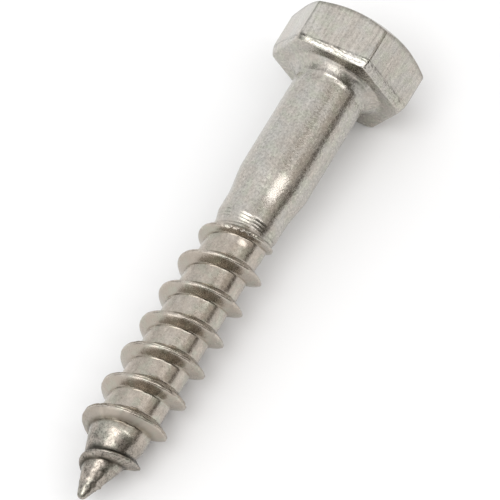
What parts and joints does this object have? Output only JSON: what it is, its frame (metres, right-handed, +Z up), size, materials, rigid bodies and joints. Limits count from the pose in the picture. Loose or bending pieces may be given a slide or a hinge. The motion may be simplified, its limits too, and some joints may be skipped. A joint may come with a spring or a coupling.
{
  "type": "lag screw",
  "caption": "Hexagon-head wood lag screw in stainless steel, with a plain shank, a coarse rolled thread and a gimlet point.",
  "frame": {"origin": "on the floor under the middle of the screw as it lies, at the bottom centre of its box", "axes": "+X along the screw towards the head, the axis rising 3.3 degrees that way; +Y across it; +Z up"},
  "size_m": [0.0554, 0.0146, 0.013],
  "materials": {
    "stainless_steel": "satin, faintly grainy"
  },
  "bodies": {
    "root": {"lag_screw": "stainless_steel"}
  },
  "joints": []
}
